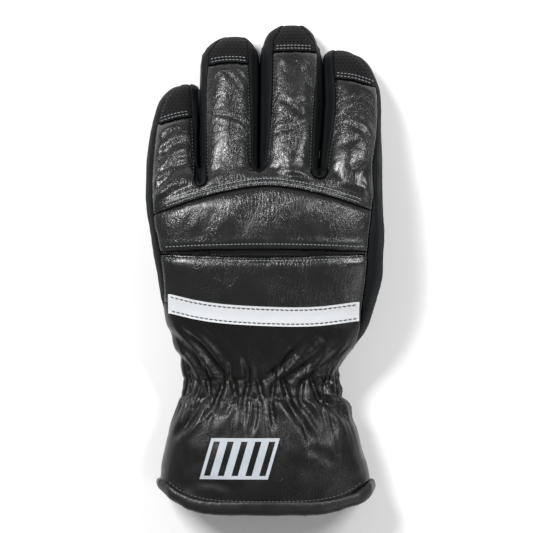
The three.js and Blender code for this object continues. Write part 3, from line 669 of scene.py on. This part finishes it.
# %% Rolled hem
HEM_BULGE, HEM_UNEVEN, HEM_TO_CUFF, HEM_MIDDLE = 0.8, 0.2, 0.8, 1.3
CORNER_PLACE, CORNER_SIZE, CORNER_PUSH, CORNER_WAY = (58, -134), 9, 3.2, [0.75, -0.65]
hem = evened_copy("cuff_hem", "glove_hem", 0.8, 40)
smooth(hem, 4, step_out=0)
co = points(hem)
normals = normals_of(hem)
bulge = (HEM_BULGE + HEM_UNEVEN * random_field(co, (9, 9, 9), 31)) * fade(co[:, 2], 1, 8)
co += normals * bulge[:, None]
co[:, 1] += HEM_TO_CUFF * fade(normals[:, 1], -0.2, 0.5)
away = (co[:, :2] - CORNER_PLACE) / CORNER_SIZE
corner = np.exp(-(away[:, 0] ** 2) - away[:, 1] ** 2)
co[:, :2] += CORNER_PUSH * corner[:, None] * CORNER_WAY
co[:, 1] += HEM_MIDDLE * fade(np.abs(co[:, 0]), 45, 15)
set_points(hem, co)
softly_shaded(hem)
print("hem:", len(hem.data.polygons), "faces")

# %% [markdown]
# The tape and the print are thin and follow the leather. A flat grid takes its outline between two lines,
# drops straight down on the finished leather and gets its thickness from a Solidify modifier. The tape is
# stiff and spans small dents: each of its points is lifted to the mean of its neighbours if that is higher.

# %% Strips that lie on the leather
ABOVE_ALL, DEEPEST_GAP = 120, 2
back_tree = tree_of(
    finger_backs, knuckle_panel, hand_back_panel, cuff, hem, flex_pleat, *caps.values(), *strips.values()
)


def drop(places, lift=0.0):
    """Where straight lines down from above meet the leather, and the leather's direction there."""
    rest, out = [], []
    for x, y in places:
        high = Vector((x, y, ABOVE_ALL)) * MM
        hit, normal, _, _ = back_tree.ray_cast(high, -UP)
        base, slope, _, _ = last_tree.ray_cast(high, -UP)
        if base and (hit is None or hit.z < base.z - DEEPEST_GAP * MM):
            hit, normal = base, slope
        rest.append(hit / MM + normal * lift)
        out.append(normal)
    return np.array(rest), np.array(out)


def lying_strip(name, corner_at, columns, rows, lift, thickness, stiff):
    """A strip whose point at the shares (u, v) lies at corner_at(u, v) in plan."""
    bpy.ops.object.select_all(action="DESELECT")
    bpy.ops.mesh.primitive_grid_add(x_subdivisions=columns, y_subdivisions=rows, size=1)
    strip = bpy.context.object
    strip.name = name
    co = points(strip) * MM
    plan = np.array([corner_at(x + 0.5, y + 0.5) for x, y, _ in co])
    rest, _ = drop(plan, lift)
    means = neighbour_means(strip)
    level = rest[:, 2]
    for _ in range(stiff):
        level = np.maximum(level, means(level))
    set_points(strip, np.stack([plan[:, 0], plan[:, 1], level], 1))
    apply_modifier(strip, "SOLIDIFY", thickness=thickness * MM, offset=1)
    only(strip)
    bpy.ops.object.shade_smooth_by_angle(angle=np.radians(40))
    return strip


def line_at(line, x):
    """How far along the hand a seam line lies at x."""
    return float(np.interp(x, line[:, 0], line[:, 1]))


TAPE = {"lift": 0.2, "thickness": 0.6, "stiff": 6}
TAPE_ENDS = (LINES["tape_low"][0, 0] - 1.4, LINES["tape_low"][-1, 0] + 1.9)


def on_tape(u, v):
    x = TAPE_ENDS[0] + u * (TAPE_ENDS[1] - TAPE_ENDS[0])
    low, high = line_at(LINES["tape_low"], x), line_at(LINES["tape_top"], x)
    return x, low + v * (high - low)


tape = lying_strip("glove_reflective_tape", on_tape, 120, 12, **TAPE)
print("tape:", round(TAPE_ENDS[1] - TAPE_ENDS[0], 1), "mm long")

# %% [markdown]
# The print is a plain hatch: a slanted frame with slanted bars. Each bar is a strip of its own, and all
# of them are joined to one print.

# %% Printed hatch
low_corner, high_corner = ([c / MM for c in corner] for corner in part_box("cuff_print"))
PRINT = {"border": 2.0, "bar": 4.4, "slant": 7.0, "bars": 4, "square": 0.8}
FILM = {"lift": 0.12, "thickness": 0.15, "stiff": 1}
print_height = high_corner[1] - low_corner[1]
print_width = high_corner[0] - low_corner[0] - PRINT["slant"]
middle_x, middle_y = (low_corner[0] + high_corner[0]) / 2, (low_corner[1] + high_corner[1]) / 2


def slanted(x0, x1, y0, y1):
    def place(u, v):
        y = y0 + v * (y1 - y0)
        return middle_x + x0 + u * (x1 - x0) + PRINT["slant"] * y / print_height, middle_y + y

    return place


half_w, half_h, border = print_width / 2, print_height / 2, PRINT["border"]
inner = print_width - 2 * border
slot = (inner - PRINT["bars"] * PRINT["bar"]) / (PRINT["bars"] + 1)
patches = [(-half_w, half_w, half_h - border, half_h), (-half_w, half_w, -half_h, border - half_h)]
starts = [-half_w + border + slot + i * (slot + PRINT["bar"]) for i in range(PRINT["bars"])]
widths = [(-half_w, border), (half_w - border, border)] + [(start, PRINT["bar"]) for start in starts]
patches += [(start, start + width, border - half_h, half_h - border) for start, width in widths]
bars = []
for i, patch in enumerate(patches):
    columns, rows = (max(2, int((patch[k + 1] - patch[k]) / PRINT["square"])) for k in (0, 2))
    bars.append(lying_strip(f"bar_{i}", slanted(*patch), columns, rows, **FILM))
hatch = joined(bars)
hatch.name = "glove_cuff_print"
print("print:", len(patches), "strips,", round(print_width, 1), "mm wide")

# %% [markdown]
# One stitch is modelled on its own: a short round bar, cut across so that it can bow, with thin ends that
# dive
# into the leather. Copies follow each seam, lie along it and take the leather's slope. Each is turned
# a little, because no sewn row is perfect. All stitches of one thread become one piece.

# %% One stitch
STITCH_SIDES, STITCH_CUTS, END_THICKNESS, STITCH_BOW, STITCH_TURN = 6, (-0.3, 0.0, 0.3), 0.55, 0.45, 0.12
bpy.ops.object.select_all(action="DESELECT")
bpy.ops.mesh.primitive_cylinder_add(vertices=STITCH_SIDES, radius=0.5, depth=1, rotation=(0, np.pi / 2, 0))
stitch = bpy.context.object
bpy.ops.object.transform_apply(rotation=True)
bpy.ops.object.mode_set(mode="EDIT")
for cut in STITCH_CUTS:
    bpy.ops.mesh.select_all(action="SELECT")
    bpy.ops.mesh.bisect(plane_co=(cut, 0, 0), plane_no=(1, 0, 0))
bpy.ops.object.mode_set(mode="OBJECT")
stitch_points = np.array([v.co for v in stitch.data.vertices])
stitch_faces = [list(p.vertices) for p in stitch.data.polygons]
bow = 1 - (2 * stitch_points[:, 0]) ** 2
stitch_points[:, 1:] *= (END_THICKNESS + (1 - END_THICKNESS) * bow)[:, None]
bpy.data.objects.remove(stitch)
print("one stitch:", len(stitch_faces), "faces")


def along(line, pitch):
    """Evenly spaced places along a line in plan, with the line's direction at each."""
    steps = np.linalg.norm(np.diff(line, axis=0), axis=1)
    length = np.concatenate([[0], np.cumsum(steps)])
    stations = np.arange(pitch / 2, length[-1], pitch)

    def at(where):
        return np.stack([np.interp(where, length, line[:, k]) for k in (0, 1)], 1)

    way = at(stations + 0.4) - at(stations - 0.4)
    return at(stations), way / np.linalg.norm(way, axis=1)[:, None]


def beside(line, distance):
    """The line moved to its left by this distance."""
    way = np.gradient(line, axis=0)
    way /= np.linalg.norm(way, axis=1)[:, None]
    return line + distance * np.stack([-way[:, 1], way[:, 0]], 1)


def sew(name, rows):
    """One piece from rows of (line, pitch, length, thickness)."""
    corners, faces = [], []
    for number, (line, pitch, length, thick) in enumerate(rows):
        places, ways = along(line, pitch)
        rest, out = drop(places)
        for i, (place, way, normal) in enumerate(zip(rest, ways, out)):
            x = np.array([way[0], way[1], 0])
            x -= normal * (x @ normal)
            x /= np.linalg.norm(x)
            y = np.cross(normal, x)
            turn = STITCH_TURN * np.sin(7.3 * i + number)
            x, y = x * np.cos(turn) + y * np.sin(turn), y * np.cos(turn) - x * np.sin(turn)
            local = stitch_points * [length, thick, thick]
            local[:, 2] += STITCH_BOW * thick * bow
            start = len(corners)
            corners.extend(place + local @ np.array([x, y, normal]))
            faces.extend([start + k for k in face] for face in stitch_faces)
    mesh = bpy.data.meshes.new(name)
    mesh.from_pydata((np.array(corners) * MM).tolist(), [], faces)
    print(name, "faces:", len(faces))
    return softly_shaded(new_object(name, mesh))


# %% [markdown]
# The rows follow the seam lines at a fixed distance. Grey thread holds the leather of the back. Dark thread
# holds the side seams, the hem and the tape. The tape's stitches are dropped on the tape alone.

# %% Stitch rows
# pitch, length and thickness of each kind of stitch
ARCH_STITCH, LIP_STITCH, CAP_STITCH = (1.9, 1.5, 0.50), (2.1, 1.5, 0.48), (2.1, 1.5, 0.46)
SEAM_STITCH, HEM_STITCH, TAPE_STITCH = (2.1, 1.1, 0.34), (2.4, 1.7, 0.55), (2.8, 2.3, 0.62)


pale_rows = [(beside(LINES["arch"], d), *ARCH_STITCH) for d in ARCH_ROWS]
pale_rows.append((beside(LINES["pleat_top"], LIP_ROW), *LIP_STITCH))
pale_rows.append((beside(LINES["pleat_low"], -1.6), *LIP_STITCH))
for name in FINGERS:
    pale_rows += [(beside(LINES["cap_" + name], d), *CAP_STITCH) for d in CAP_ROWS]
pale_thread = sew("glove_pale_stitches", pale_rows)

# part, its edge (-1 left, 1 right), first and last place along the hand, and the row's distance from the edge
SIDES = (
    ("outer_side_panel", 1, -8, 104, 0.9),
    ("fourchette_pinky_ring", -1, 54, 88, -0.9),
    ("fourchette_pinky_ring", 1, 54, 118, 0.9),
    ("fourchette_ring_middle", -1, 62, 118, -0.9),
    ("fourchette_ring_middle", 1, 62, 126, 0.9),
    ("fourchette_middle_index", -1, 58, 126, -0.9),
    ("fourchette_middle_index", 1, 58, 110, 0.9),
    ("thumb_side_panel", -1, -30, 104, -0.9),
)
dark_rows = []
for node, side, low, high, distance in SIDES:
    line = edge_line(node, side, across(low, high), axis=1)
    dark_rows.append((line + [distance, 0], *SEAM_STITCH))
dark_rows.append((beside(LINES["hem"], 2.3), *HEM_STITCH))
seam_thread = sew("glove_seam_stitches", dark_rows)
back_tree = tree_of(tape)
tape_rows = [(beside(LINES[edge], d), *TAPE_STITCH) for edge, d in (("tape_top", -1.5), ("tape_low", 1.5))]
tape_thread = sew("glove_tape_stitches", tape_rows)

# %% [markdown]
# A finish is a small network of nodes. Written as plain sums it is easier to read,
# so one class wraps a node's output and lets us add and multiply it like a number.

# %% Sockets as numbers
class Soc:
    """A node's output that can be added, multiplied and taken from a number."""

    def __init__(self, finish, socket):
        self.finish, self.socket = finish, socket

    def _math(self, operation, a, b):
        return self.finish.node("ShaderNodeMath", {"operation": operation}, {0: a, 1: b})

    def __add__(self, other):
        return self._math("ADD", self, other)

    def __radd__(self, other):
        return self._math("ADD", other, self)

    def __rsub__(self, other):
        return self._math("SUBTRACT", other, self)

    def __mul__(self, other):
        return self._math("MULTIPLY", self, other)

    def __rmul__(self, other):
        return self._math("MULTIPLY", other, self)


class Finish:
    """One material: node() makes any node, mix() blends colours and surface() fills the shader's sockets."""

    def __init__(self, name):
        self.material = bpy.data.materials.new(name)
        self.material.use_nodes = True
        self.tree = self.material.node_tree
        self.shader = next(n for n in self.tree.nodes if n.type == "BSDF_PRINCIPLED")
        self.place = self.node("ShaderNodeTexCoord", output="Object")

    def node(self, kind, settings=None, inputs=None, output=0):
        made = self.tree.nodes.new(kind)
        for key, value in (settings or {}).items():
            setattr(made, key, value)
        self.fill(made, inputs or {})
        return Soc(self, made.outputs[output])

    def fill(self, node, inputs):
        for key, value in inputs.items():
            if isinstance(value, Soc):
                self.tree.links.new(value.socket, node.inputs[key])
            else:
                node.inputs[key].default_value = value

    def mapped(self, size, turn=(0, 0, 0), place=None):
        """Places measured in steps of this many millimetres."""
        steps = [1 / (s * MM) for s in (size if hasattr(size, "__len__") else (size,) * 3)]
        turn = [np.radians(angle) for angle in turn]
        inputs = {"Vector": place or self.place, "Rotation": turn, "Scale": steps}
        return self.node("ShaderNodeMapping", {}, inputs, "Vector")

    def vector(self, operation, inputs, output="Vector"):
        return self.node("ShaderNodeVectorMath", {"operation": operation}, inputs, output)

    def swirl(self, size, reach):
        """A random offset in millimetres that bends straight patterns."""
        inputs = {"Vector": self.mapped(size), "Scale": 1.0, "Detail": 2.0}
        colour = self.node("ShaderNodeTexNoise", {}, inputs, "Color")
        middle = self.vector("SUBTRACT", {0: colour, 1: (0.5, 0.5, 0.5)})
        return self.vector("SCALE", {0: middle, "Scale": 2 * reach * MM})

    def wave(self, direction, pitch):
        """The cosine of the way in this direction of the plan, with one crest in each pitch."""
        angle = np.radians(direction)
        steps = [2 * np.pi / (pitch * MM) * share for share in (np.cos(angle), np.sin(angle), 0)]
        way = self.vector("DOT_PRODUCT", {0: self.place, 1: steps}, "Value")
        return self.node("ShaderNodeMath", {"operation": "COSINE"}, {0: way})

    def noise(self, size, detail=2.0, turn=(0, 0, 0), rough=0.5):
        inputs = {"Vector": self.mapped(size, turn), "Scale": 1.0, "Detail": detail, "Roughness": rough}
        return self.node("ShaderNodeTexNoise", {}, inputs, "Fac")

    def cells(self, size, feature="DISTANCE_TO_EDGE", turn=(0, 0, 0), place=None):
        """Random cells: how far each place is from a cell's edge, or with F1 from its middle."""
        inputs = {"Vector": self.mapped(size, turn, place), "Scale": 1.0}
        return self.node("ShaderNodeTexVoronoi", {"feature": feature}, inputs, "Distance")

    def step(self, value, start, end):
        """0 below start, 1 above end."""
        settings = {"interpolation_type": "SMOOTHSTEP"}
        inputs = {"Value": value, "From Min": start, "From Max": end, "To Min": 0.0, "To Max": 1.0}
        return self.node("ShaderNodeMapRange", settings, inputs, "Result")

    def mix(self, share, first, second):
        made = self.tree.nodes.new("ShaderNodeMix")
        made.data_type = "RGBA"
        sockets = {s.identifier: i for i, s in enumerate(made.inputs)}
        names = ("Factor_Float", "A_Color", "B_Color")
        self.fill(made, {sockets[name]: value for name, value in zip(names, (share, first, second))})
        return Soc(self, next(s for s in made.outputs if s.identifier == "Result_Color"))

    def surface(self, colour, rough, specular=0.5, height=None, depth=0.1):
        """Fills the shader; height is a bump from 0 to 1 over this depth in millimetres."""
        inputs = {"Base Color": colour, "Roughness": rough, "Specular IOR Level": specular}
        if height is not None:
            bump = {"Height": height, "Distance": depth * MM, "Strength": 1.0}
            inputs["Normal"] = self.node("ShaderNodeBump", {}, bump, "Normal")
        self.fill(self.shader, inputs)
        return self.material


def grey(level, warmth=0.0):
    """A near-black or grey colour; warmth above 0 leans to brown and below 0 to blue."""
    return (level * (1 + warmth), level, level * (1 - warmth), 1.0)


# %% [markdown]
# Goat leather has small pebbles with flat shiny tops and dull creases between them. Two sets of longer
# wrinkles cross over them, stronger in some places than in others, and broad soft dents break up the light.
# All of these go into one bump. A slow change of gloss does the rest: worn places shine more.

# %% Leathers
def grain_leather(name, dark, light, gloss, pebble, depth, specular):
    """Black grain leather; gloss is the roughness of its shiny and its dull places."""
    f = Finish(name)
    pebbles = f.step(f.cells(pebble), 0.0, 0.16)
    bent = f.vector("ADD", {0: f.place, 1: f.swirl(7, 1.6)})
    wrinkle = f.step(f.cells((1.6, 4.4, 3.0), turn=(0, 0, 38), place=bent), 0.0, 0.12)
    crossing = f.step(f.cells((3.2, 2.1, 3.0), turn=(0, 0, -20), place=bent), 0.0, 0.1)
    slow = f.noise(13, 3.0)
    fine = f.noise(0.45, 2.0)
    patchy = f.step(f.noise((17, 26, 20), 2.0, (0, 0, 25)), 0.38, 0.62)
    height = pebbles * (0.06 + 0.06 * patchy) + wrinkle * (0.1 + 0.25 * patchy)
    height = height + crossing * (0.05 + 0.12 * patchy) + fine * 0.02
    height = height + f.noise((4, 6, 5), 2.0) * 0.6 + f.noise((1.8, 3.6, 2.5), 1.0, (0, 0, 38)) * 0.2
    colour = f.mix(slow * 0.6 + pebbles * 0.4, dark, light)
    dull = f.step(f.noise((10, 15, 12), 3.0), 0.3, 0.7)
    rough = gloss[0] + (gloss[1] - gloss[0]) * dull + (1 - pebbles) * 0.06
    return f.surface(colour, rough, specular, height, depth)


# name: dark and light colour, roughness of shiny and dull places, pebble and depth in mm, specular
LEATHERS = {
    "black_goat_leather": (grey(0.004), grey(0.009, -0.05), (0.20, 0.29), 1.1, 0.20, 0.56),
    "black_cuff_leather": (grey(0.004, 0.04), grey(0.008, 0.04), (0.22, 0.36), 0.9, 0.15, 0.32),
    "black_hem_leather": (grey(0.004), grey(0.008), (0.32, 0.42), 0.6, 0.10, 0.45),
    "matte_side_leather": (grey(0.003, -0.15), grey(0.006, -0.2), (0.50, 0.62), 0.6, 0.08, 0.10),
    "matte_palm_leather": (grey(0.010), grey(0.020), (0.58, 0.72), 1.0, 0.15, 0.3),
}
finishes = [grain_leather(name, *row) for name, row in LEATHERS.items()]
back_leather, cuff_leather, hem_leather, side_leather, palm_leather = finishes
print("leathers:", [finish.name for finish in finishes])

# %% [markdown]
# The caps are pierced in an even staggered grid of small holes. Three sets of waves, a third of a half turn
# apart, crest together exactly on such a grid, so where their sum is high there is a hole: a dent, with the
# shade inside it painted as a dark dot.

# %% Dotted cap leather
HOLE_PITCH = 2.1


def dotted_leather():
    f = Finish("dotted_cap_leather")
    hole_with_painted_shade = f.step(f.wave(30, HOLE_PITCH) + f.wave(90, HOLE_PITCH) + f.wave(150, HOLE_PITCH), 0.9, 1.7)
    pebbles = f.step(f.cells(0.55), 0.0, 0.3)
    slow = f.noise(8, 2.0)
    height = pebbles * 0.3 + (1 - hole_with_painted_shade) * 0.6 + slow * 0.1
    base = f.mix(slow * 0.5 + pebbles * 0.5, grey(0.003), grey(0.007, -0.02))
    # painted shade: each hole's colour is darkened to near black
    colour = f.mix(hole_with_painted_shade, base, grey(0.0015))
    rough = 0.62 + 0.1 * f.noise(5, 2.0) + 0.2 * hole_with_painted_shade
    return f.surface(colour, rough, specular=0.15, height=height, depth=0.16)


cap_leather = dotted_leather()


# %% [markdown]
# Reflective tape is silver cloth coated with tiny glass beads, so it looks pale and softly grained from every
# side. The print is a flat transfer, a little worn where the leather's grain comes through. Thread has a fine
# twist.

# %% Tape, print and thread
def tape_finish():
    f = Finish("silver_reflective_tape")
    beads = f.cells(0.35, "F1")
    weave = f.step(f.wave(45, 0.8) + f.wave(-45, 0.8), -1, 1)
    stains = f.noise((9, 6, 9), 3.0)
    colour = f.mix(stains * 0.7 + weave * 0.3, grey(0.58, -0.03), grey(0.68, -0.02))
    height = beads * 0.4 + weave * 0.3 + f.noise(3, 2.0) * 0.3
    rough = 0.42 + 0.15 * f.noise(4, 2.0)
    return f.surface(colour, rough, specular=0.4, height=height, depth=0.05)


def print_finish():
    f = Finish("silver_grey_print")
    pebbles = f.step(f.cells(0.75), 0.0, 0.25)
    worn = f.step(f.noise((1.6, 1.6, 1.6), 4.0, rough=0.7), 0.66, 0.74)
    colour = f.mix(f.noise(6, 3.0), grey(0.40, -0.08), grey(0.48, -0.07))
    colour = f.mix(worn * 0.7, colour, grey(0.10, -0.1))
    height = pebbles * 0.6 + f.noise(2.5, 3.0) * 0.4
    rough = 0.50 + 0.12 * f.noise(3, 2.0)
    return f.surface(colour, rough, specular=0.35, height=height, depth=0.08)


def thread_finish(name, dark, light):
    f = Finish(name)
    twist = f.noise((0.25, 0.25, 0.25), 1.0)
    colour = f.mix(f.noise(2.5, 2.0) * 0.7 + twist * 0.3, dark, light)
    rough = 0.5 + 0.2 * twist
    return f.surface(colour, rough, height=twist, depth=0.05)


pale_cotton = thread_finish("grey_thread", grey(0.17, -0.06), grey(0.34, -0.06))
dark_cotton = thread_finish("dark_seam_thread", grey(0.04, -0.06), grey(0.12, -0.04))
navy_cotton = thread_finish("dark_tape_thread", grey(0.012, -0.25), grey(0.035, -0.2))
reflective, printed = tape_finish(), print_finish()
print("finishes:", len(bpy.data.materials))

# %% [markdown]
# Every piece now gets its finish, rides on the frame's body and stands for the frame part that it was made
# from. Threads stand for no part.

# %% Dress the frame
DRESSED = {
    "finger_backs": (finger_backs, back_leather),
    "knuckle_panel": (knuckle_panel, back_leather),
    "flex_pleat": (flex_pleat, back_leather),
    "hand_back_panel": (hand_back_panel, back_leather),
    "cuff": (cuff, cuff_leather),
    "cuff_hem": (hem, hem_leather),
    "palm": (palm, palm_leather),
    "thumb": (thumb, palm_leather),
    "reflective_tape": (tape, reflective),
    "cuff_print": (hatch, printed),
}
DRESSED.update({name: (strip, side_leather) for name, strip in strips.items()})
DRESSED.update({"fingertip_cap_" + name: (cap, cap_leather) for name, cap in caps.items()})
for name, (piece, finish) in DRESSED.items():
    piece.data.materials.clear()
    piece.data.materials.append(finish)
    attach(piece, "root")
    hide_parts(name)
for thread, finish in ((pale_thread, pale_cotton), (seam_thread, dark_cotton), (tape_thread, navy_cotton)):
    thread.data.materials.append(finish)
    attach(thread, "root")
bpy.data.objects.remove(last)
print("pieces:", len(DRESSED) + 3, "frame parts left showing:", sorted(set(nodes) - set(DRESSED)))

# %% [markdown]
# The photograph is taken from straight above on a white ground under soft light. A large soft light beyond
# the fingers on the left draws the broad highlights. A weaker one on the right and a faint one by the cuff
# soften the shadows, and a pale world fills the rest. The camera is far away, so the sides hardly show.

# %% Ground, light and camera
GROUND_SIZE, GROUND_LEVEL, PAPER_GREY, WORLD_STRENGTH = 6, -0.0005, 0.95, 0.29
bpy.ops.object.select_all(action="DESELECT")
bpy.ops.mesh.primitive_plane_add(size=GROUND_SIZE, location=(0, 0, GROUND_LEVEL))
ground = bpy.context.object
ground.name = "ground"
paper = Finish("white_paper")
ground.data.materials.append(paper.surface(grey(PAPER_GREY), rough=0.9))

# each row: place and size of the light's panel in metres, and its power
LIGHTS = [
    (-0.60, 0.55, 1.0, 0.42, 0.34, 17),
    (0.62, 0.48, 1.0, 0.34, 0.30, 8),
    (0.90, -0.60, 0.8, 0.60, 0.50, 2.5),
]
for x, y, z, wide, long, power in LIGHTS:
    bpy.ops.object.light_add(type="AREA", location=(x, y, z))
    lamp = bpy.context.object
    lamp.data.shape = "RECTANGLE"
    lamp.data.size, lamp.data.size_y, lamp.data.energy = wide, long, power
    lamp.rotation_euler = (-lamp.location).to_track_quat("-Z", "Y").to_euler()

world = bpy.data.worlds.new("pale_studio")
bpy.context.scene.world = world
world.use_nodes = True
sky = world.node_tree.nodes["Background"].inputs
sky["Color"].default_value, sky["Strength"].default_value = (1, 1, 1, 1), WORLD_STRENGTH

CAMERA_PLACE, SEEN_WIDTH, SEEN_LEVEL = (0.0009, 0.0015, 1.6), 0.3154, 0.025
bpy.ops.object.camera_add(location=CAMERA_PLACE, rotation=(0, 0, 0))
camera = bpy.context.object
camera.data.lens = camera.data.sensor_width * (CAMERA_PLACE[2] - SEEN_LEVEL) / SEEN_WIDTH
bpy.context.scene.camera = camera
bpy.context.scene.view_settings.view_transform = "Standard"
